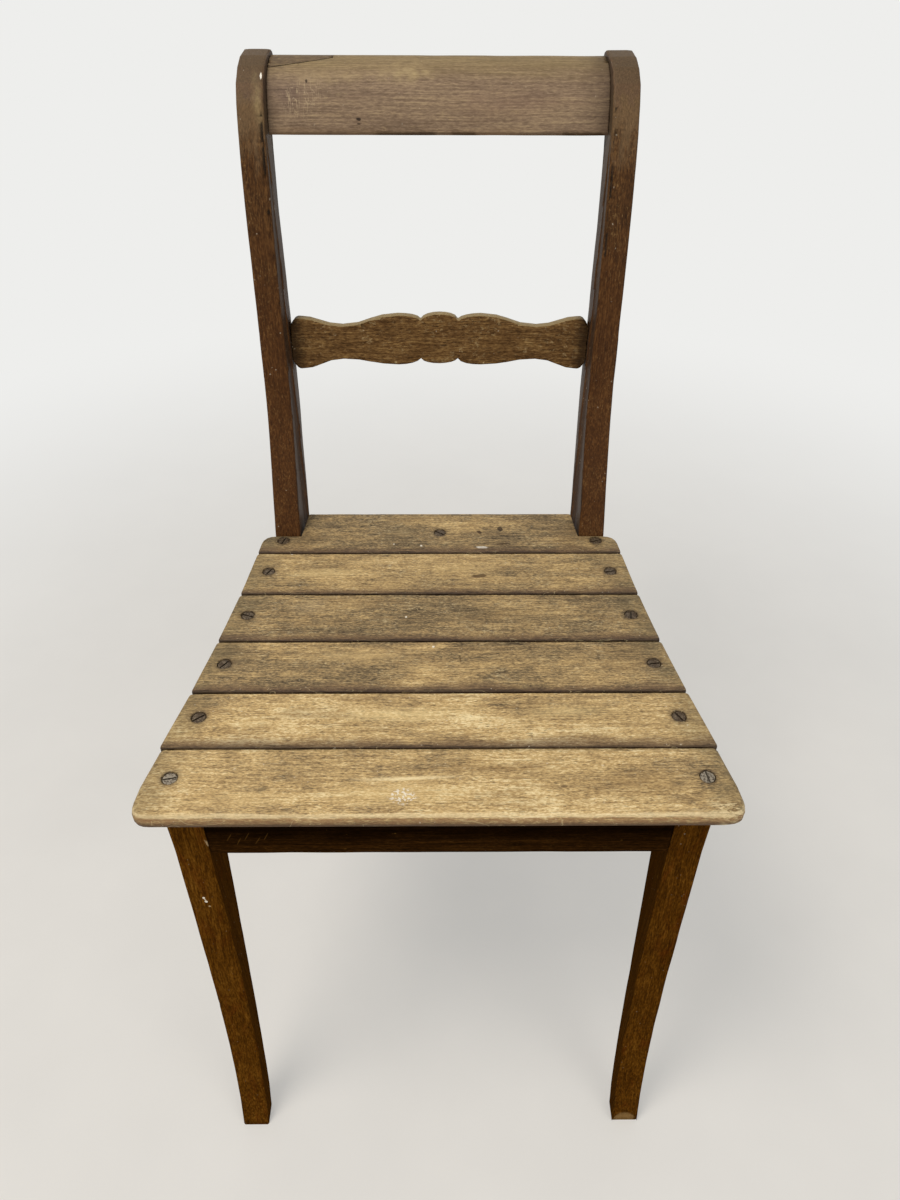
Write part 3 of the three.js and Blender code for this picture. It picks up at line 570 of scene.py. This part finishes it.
# Crest rail: faded plum brown, paler and olive where the top rolls back
crestLook = dict(
    postLook, axis=0, sway=5.0,
    grain={
        "rings": (240, 5.0, 2.0, 0.25),
        "fibre": (60, 1.4, 3.0, 0.5),
        "chatter": (4.5, 1.1, 2.0, 0.42),
        "cloud": (90, 20, 4.0, 0.4),
    },
    shades=((0.0, "#43342a"), (0.3, "#665342"), (0.5, "#806c58"), (0.7, "#998467"), (1.0, "#c4ae82")),
    showThrough=0.18, pore="#4c3a2b", pores=0.25, stain="#6b5443", stains=0.25,
    fleck="#b19a73", flecks=0.3, fleckLength=5, fleckWidth=1.4,
    bare="#a8946c", rub=0.3, dirt="#2c2017", grime=0.75, grimeWidth=1.4, specks=0.15,
    roughness=0.58, specular=0.2,
)

crestMarkList = [
    (-68.3, 836, 2.6, 1.4, 0, "#22160d", 0.95),
    (-68.3, 832.6, 2.0, 0.9, 0, "#2c1e13", 0.8),
    (-112, 862.5, 1.2, 1.4, 0, "#2a1b10", 0.9),
]


def crestMarks(r, color):
    # Paler along the top
    roll = r.drift(r.z, 16.0, (70, 30, 7), 4.0, 0.6)
    color = r.tint(color, "#86754f", 0.6, (roll, 868.0, 886.0))
    color = r.tint(color, "#b8a478", 0.75, r.spot("front", (-28, 868), (34, 9), 0, 0.9, 0.3))
    color = r.tint(color, "#ab9670", 0.55, r.spot("front", (-90, 866), (55, 8), 3, 0.9, 0.3))
    # Dark underneath, plum in the middle and brown along the bottom
    color = r.tint(color, "#21160e", 0.85, (r.z, 827.5, 825.4))
    color = r.tint(color, "#7d6455", 0.5, r.spot("front", (60, 848), (70, 16), 0, 0.6, 0.3))
    color = r.tint(color, "#5d4a42", 0.7, r.spot("front", (-128, 852), (22, 18), 0, 0.6, 0.3))
    low = r.drift(r.z, 10.0, (50, 20, 8), 3.0)
    color = r.tint(color, "#7d6140", 0.4, (low, 836.0, 827.0))
    # Light squiggles at the left end, where the finish has been scraped
    worms = r.contour(r.lumps((4.5, 20, 20), 2.0, 0.5, 1.2), 0.5)
    scraped = r.spot("front", (-117, 850), (25, 19), 0, 0.6, 0.5)
    color = r.tint(color, "#c4b08e", 0.6, (worms, 0.026, 0.006), scraped)
    # Darker towards both posts: dirt and painted shade where the crest meets them
    color = r.tint(color, "#3c2b1f", 0.6, (r.drift(r.x, 20.0, (14, 14, 14), 3.0), 126.0, 160.0))
    color = r.tint(color, "#4a392b", 0.45, (r.drift(r.x, -14.0, (14, 14, 14), 3.0), -138.0, -154.0))
    return marked(r, color, "front", crestMarkList)


crestMaterial = wood("faded crest beech", crestLook, crestMarks)
crestWear = {"grid": (5, 4, 4), "dent": 0.4, "nick": 1.2, "rub": 0.4}
wornBoard("crest_rail", crestWear, crestMaterial, grainSeeds["crest"])

# The wedge let into the crest's top left end: plainer wood in a browner finish
patchLook = dict(
    crestLook,
    shades=((0.0, "#33281c"), (0.3, "#4f4030"), (0.5, "#65543f"), (0.7, "#7d6b4e"), (1.0, "#a08c66")),
)
patchMaterial = wood("darker repair beech", patchLook)
patchWear = {"grid": (4, 4, 2), "dent": 0.1, "nick": 0.4, "rub": 0.15}
wornBoard("crest_patch", patchWear, patchMaterial, grainSeeds["patch"])

# Back rail: brown face dappled with wear, dark dirty ends and a pale top edge
splatLook = dict(
    postLook, axis=0, sway=5.0,
    grain={
        "rings": (200, 5.0, 2.0, 0.3),
        "fibre": (26, 1.4, 3.0, 0.75),
        "chatter": (4.5, 1.3, 2.0, 0.85),
        "cloud": (36, 14, 4.0, 0.45),
    },
    shades=((0.0, "#2e1e0d"), (0.3, "#4c351b"), (0.5, "#654a2b"), (0.7, "#7f633c"), (1.0, "#ab9060")),
    fleck="#a08b66", flecks=0.7, fleckLength=4.5, fleckWidth=3.4,
    stain="#4f3317", stains=0.3, stainLength=24, stainWidth=9,
    bare="#9c8862", rub=0.3, rubWidth=1.6, grime=0.4, specular=0.08,
)


def splatMarks(r, color):
    top = r.drift(facing(r)[2], 0.5, (22, 5, 5), 3.0, 0.6)
    color = r.tint(color, "#9a8862", 0.8, (top, 0.75, 1.0))
    away = sideways(r)
    ends = r.drift(away, 24.0, (9, 9, 9), 4.0, 0.65)
    color = r.tint(color, "#2b1d0f", 0.8, (ends, 139.0, 153.0))
    return r.tint(color, "#0e0905", 0.8, (away, 145.8, 147.0))


# The ends' rounding in metres: how long it is, where it is full, and the rail's middle and half height
endSize = {"reach": 0.009, "end": 0.1425, "middle": 0.645, "half": 0.027}


# The ends are rounded over by hand, so that they don't quite fill the post's width
def roundedEnds(vertex):
    reach = endSize["reach"]
    inward = endSize["end"] - abs(vertex.co.x)
    if inward < reach:
        share = 1 - max(0.0, inward) / reach
        drop = reach * (1 - math.sqrt(max(0.0, 1 - share * share)))
        vertex.co.z -= (vertex.co.z - endSize["middle"]) / endSize["half"] * drop


splatMaterial = wood("brown back rail beech", splatLook, splatMarks)
splatWear = {"grid": (3.5, 4, 3.5), "dent": 0.3, "nick": 0.9, "rub": 0.35}
wornBoard("splat_rail", splatWear, splatMaterial, grainSeeds["splat"], shape=roundedEnds)
print("back done")

# Slotted screws in millimetres and degrees: one head, whose profile gives shares of the radius and
# depths below the face, repeated by a node tree at the modelled screws' places
screwSize = {
    "radius": 5.55, "profile": ((0.42, 3.2), (0.98, 0.6), (1.0, 0.25), (0.93, 0.0)), "sides": 48,
    "slotWidth": 1.5, "slotDepth": 1.2, "shadeAngle": 30, "tip": 0.035, "seed": 4,
    "turns": [72, 18, -35, 64, 12, -20, 81, 55, 8, 40, -62, 12, 95],
}


def screwHead(size):
    head = bmesh.new()
    half, slot, sides = size["slotWidth"] / 2000, size["slotDepth"] / 1000, size["sides"]
    around = [2 * math.pi * k / sides for k in range(sides)]
    rings = []
    for share, depth in size["profile"]:
        reach = size["radius"] / 1000 * share
        places = [(reach * math.cos(a), reach * math.sin(a), -depth / 1000) for a in around]
        rings.append([head.verts.new(place) for place in places])
    for lower, upper in zip(rings, rings[1:]):
        for k in range(sides):
            following = (k + 1) % sides
            head.faces.new((lower[k], lower[following], upper[following], upper[k]))
    head.faces.new(rings[-1])
    head.faces.new(list(reversed(rings[0])))
    for offset in (-half, half):
        cut = {"dist": 1e-7, "plane_co": (0, offset, 0), "plane_no": (0, 1, 0)}
        bmesh.ops.bisect_plane(head, geom=head.verts[:] + head.edges[:] + head.faces[:], **cut)
    strip = []
    for face in head.faces:
        middle = face.calc_center_median()
        if abs(middle.y) < half and abs(middle.z) < 1e-4 and face.normal.z > 0.9:
            strip.append(face)
    sunk = bmesh.ops.extrude_face_region(head, geom=strip)
    bmesh.ops.delete(head, geom=strip, context="FACES_ONLY")
    for item in sunk["geom"]:
        if isinstance(item, bmesh.types.BMVert):
            item.co.z -= slot
    bmesh.ops.triangulate(head, faces=head.faces)
    head.normal_update()
    mesh = bpy.data.meshes.new("screw_head")
    head.to_mesh(mesh)
    head.free()
    mesh.shade_smooth()
    mesh.set_sharp_from_angle(angle=math.radians(size["shadeAngle"]))
    return bpy.data.objects.new("screw_head", mesh)


# Dull steel: mottled with rust, dirty in the slots and rubbed brighter towards the seat's front
def screwMetal():
    r = Recipe("dull screw steel")
    mottled = r.lumps((1.6, 1.6, 1.6), 4.0, 0.6)
    stops = ((0.3, "#2a2018"), (0.5, "#574a3a"), (0.72, "#8b7d68"))
    color = add(r.tree, "ShaderNodeValToRGB", {"Fac": mottled}, stops).outputs["Color"]
    color = r.tint(color, "#40301f", 0.8, (r.lumps((4.5, 4.5, 4.5), 4.0, 0.65), 0.46, 0.62))
    color = r.tint(color, "#b0a898", 0.65, (r.y, -150.0, -190.0), (mottled, 0.35, 0.55))
    color = r.tint(color, "#1b130c", 0.7, (r.z, seatTop - 1.0, seatTop - 1.5))
    rough = r.drift(0.35, 0.3, (0.4, 6.0, 0.4), 3.0)
    return r.finish(color, rough, mottled, 0.0002, 0.3, 0.2)


def screwTree(material):
    tree = bpy.data.node_groups.new("Seat screws", "GeometryNodeTree")
    for name, kind in (("Geometry", "Geometry"), ("Head", "Object"), ("Tip", "Float"), ("Seed", "Int")):
        tree.interface.new_socket(name, in_out="INPUT", socket_type="NodeSocket" + kind)
    tree.interface.new_socket("Geometry", in_out="OUTPUT", socket_type="NodeSocketGeometry")
    given = add(tree, "NodeGroupInput").outputs
    head = add(tree, "GeometryNodeObjectInfo", {"Object": given["Head"]})
    turn = add(tree, "GeometryNodeInputNamedAttribute", {"Name": "turn"}, data_type="FLOAT")
    negative = add(tree, "ShaderNodeMath", {0: given["Tip"], 1: -1.0}, operation="MULTIPLY")
    limits = {2: negative.outputs[0], 3: given["Tip"], "Seed": given["Seed"]}
    lean = add(tree, "FunctionNodeRandomValue", limits, data_type="FLOAT")
    rotation = add(tree, "ShaderNodeCombineXYZ", {"X": lean.outputs[1], "Z": turn.outputs["Attribute"]})
    inputs = {
        "Points": given["Geometry"],
        "Instance": head.outputs["Geometry"],
        "Rotation": rotation.outputs[0],
    }
    placed = add(tree, "GeometryNodeInstanceOnPoints", inputs)
    realized = add(tree, "GeometryNodeRealizeInstances", {0: placed.outputs[0]})
    inputs = {"Geometry": realized.outputs[0], "Material": material}
    painted = add(tree, "GeometryNodeSetMaterial", inputs)
    add(tree, "NodeGroupOutput", {0: painted.outputs[0]})
    return tree


def seatScrews(size):
    points = bpy.data.meshes.new("screw_points")
    points.from_pydata(screwPlaces, [], [])
    turns = [math.radians(turn) for turn in size["turns"]]
    points.attributes.new("turn", "FLOAT", "POINT").data.foreach_set("value", turns)
    holder = bpy.data.objects.new("screw_points", points)
    bpy.context.collection.objects.link(holder)
    head = screwHead(size)
    bpy.context.collection.objects.link(head)
    tree = screwTree(screwMetal())
    modifier = holder.modifiers.new("screws", "NODES")
    modifier.node_group = tree
    values = {"Head": head, "Tip": size["tip"], "Seed": size["seed"]}
    for item in tree.interface.items_tree:
        if item.item_type == "SOCKET" and item.in_out == "INPUT" and item.name in values:
            modifier[item.identifier] = values[item.name]
    holder.update_tag()
    bpy.context.view_layer.update()
    graph = bpy.context.evaluated_depsgraph_get()
    mesh = bpy.data.meshes.new_from_object(holder.evaluated_get(graph))
    mesh.name = "seat_screws"
    piece = bpy.data.objects.new("seat_screws", mesh)
    bpy.context.collection.objects.link(piece)
    holder.modifiers.clear()
    bpy.data.objects.remove(holder)
    bpy.data.objects.remove(head)
    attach(piece, "root")
    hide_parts(*screwNodes)


seatScrews(screwSize)
print("screws done")


# 1 where the eye sees the backdrop, straight or mirrored, and 0 where it only sends light
def seenByEye(tree):
    path = add(tree, "ShaderNodeLightPath").outputs
    seen = path["Is Camera Ray"]
    for ray in ("Is Glossy Ray", "Is Transmission Ray"):
        seen = add(tree, "ShaderNodeMath", {0: seen, 1: path[ray]}, operation="MAXIMUM").outputs[0]
    return seen


# Half the floor's width in metres, and the distances in millimetres over which it goes from real
# paper to an even pale, with the least share of that near the chair
floorSize = {
    "half": 40.0, "near": 500.0, "reach": 1900.0, "least": 0.35,
    "shade": "#e4e2de", "tint": "#ebe9e5", "cloud": 180, "far": "#eeeeec",
    "speckle": "#b9b6b0", "speckles": 0.06, "speck": 3, "roughness": 0.8, "specular": 0.1,
}


# Pale matt lining paper: the chair's shadow shows on it near by, and further off it is evenly pale
def paper(size):
    r = Recipe("pale lining paper")
    stops = ((0.3, size["shade"]), (0.7, size["tint"]))
    cloud = r.lumps((size["cloud"],) * 3, 3.0)
    color = add(r.tree, "ShaderNodeValToRGB", {"Fac": cloud}, stops).outputs["Color"]
    color = r.tint(color, size["speckle"], size["speckles"], r.lumps((size["speck"],) * 3, 3.0))
    inputs = {"Base Color": color, "Roughness": size["roughness"], "Specular IOR Level": size["specular"]}
    card = add(r.tree, "ShaderNodeBsdfPrincipled", inputs)
    glow = add(r.tree, "ShaderNodeEmission", {"Color": size["far"], "Strength": 1.0})
    distance = add(r.tree, "ShaderNodeVectorMath", {0: r.place}, operation="LENGTH").outputs["Value"]
    far = r.mask((distance, size["near"], size["reach"]), share=1 - size["least"])
    share = r.mask(seenByEye(r.tree), share=r.weigh(size["least"], (far, 1.0)))
    mix = add(r.tree, "ShaderNodeMixShader", {0: share, 1: card.outputs[0], 2: glow.outputs[0]})
    add(r.tree, "ShaderNodeOutputMaterial", {"Surface": mix.outputs[0]})
    return r.material


def stageFloor(size):
    half = size["half"]
    corners = [(-half, -half, 0), (half, -half, 0), (half, half, 0), (-half, half, 0)]
    mesh = bpy.data.meshes.new("floor")
    mesh.from_pydata(corners, [], [(0, 1, 2, 3)])
    mesh.materials.append(paper(size))
    floor = bpy.data.objects.new("floor", mesh)
    bpy.context.collection.objects.link(floor)


stageFloor(floorSize)

lampSizes = {
    "key": {"place": (-0.9, -0.6, 2.6), "aim": (0, 0, 0.45), "width": 1.1, "power": 30.0, "tint": "#fff6ea"},
    "fill": {"place": (1.4, -1.8, 1.7), "aim": (0, 0, 0.4), "width": 1.6, "power": 12.0, "tint": "#fdf8f0"},
}


def softLight(name, size):
    data = bpy.data.lights.new(name, "AREA")
    data.shape = "DISK"
    data.size = size["width"]
    data.energy = size["power"]
    data.color = linear(size["tint"])[:3]
    lamp = bpy.data.objects.new(name, data)
    lamp.location = size["place"]
    direction = Vector(size["aim"]) - Vector(size["place"])
    lamp.rotation_euler = direction.to_track_quat("-Z", "Y").to_euler()
    bpy.context.collection.objects.link(lamp)


for name, size in lampSizes.items():
    softLight(name, size)


# A soft even sky that lights the chair, and that looks as pale as the far floor
def backdrop(light="#f0eeea", strength=0.5):
    world = bpy.data.worlds.new("studio")
    bpy.context.scene.world = world
    world.use_nodes = True
    tree = world.node_tree
    tree.nodes.clear()
    glow = add(tree, "ShaderNodeBackground", {"Color": light, "Strength": strength})
    seen = add(tree, "ShaderNodeBackground", {"Color": floorSize["far"], "Strength": 1.0})
    inputs = {0: seenByEye(tree), 1: glow.outputs[0], 2: seen.outputs[0]}
    mix = add(tree, "ShaderNodeMixShader", inputs)
    add(tree, "ShaderNodeOutputWorld", {0: mix.outputs[0]})


backdrop()

# Degrees, and metres from the seat's front edge; the lens comes from the photo's height in pixels
cameraSize = {
    "pitch": 38.9, "roll": -0.3052, "yaw": 0.6268, "place": (0.002457, -0.4135, 1.0),
    "focalPixels": 901.0, "photoHeight": 1200.0, "sensor": 36.0,
}


# The camera stands where the photo's did: above and before the seat, looking down at the chair
def photoCamera(size):
    pitch, roll, yaw = (math.radians(size[key]) for key in ("pitch", "roll", "yaw"))
    sinPitch, cosPitch, sinRoll, cosRoll = math.sin(pitch), math.cos(pitch), math.sin(roll), math.cos(roll)
    right = Vector((cosRoll, -sinPitch * sinRoll, -cosPitch * sinRoll))
    down = Vector((-sinRoll, -sinPitch * cosRoll, -cosPitch * cosRoll))
    forward = right.cross(down)
    data = bpy.data.cameras.new("camera")
    data.sensor_width = size["sensor"]
    data.lens = size["focalPixels"] / size["photoHeight"] * size["sensor"]
    camera = bpy.data.objects.new("camera", data)
    bpy.context.collection.objects.link(camera)
    turn = Matrix((right, -down, -forward)).transposed().to_4x4()
    aside, behind, height = size["place"]
    place = Matrix.Translation((aside, behind + seatFront / 1000, height))
    camera.matrix_world = place @ Matrix.Rotation(-yaw, 4, "Z") @ turn
    bpy.context.scene.camera = camera


photoCamera(cameraSize)
bpy.context.scene.view_settings.view_transform = "Standard"
print("stage done")
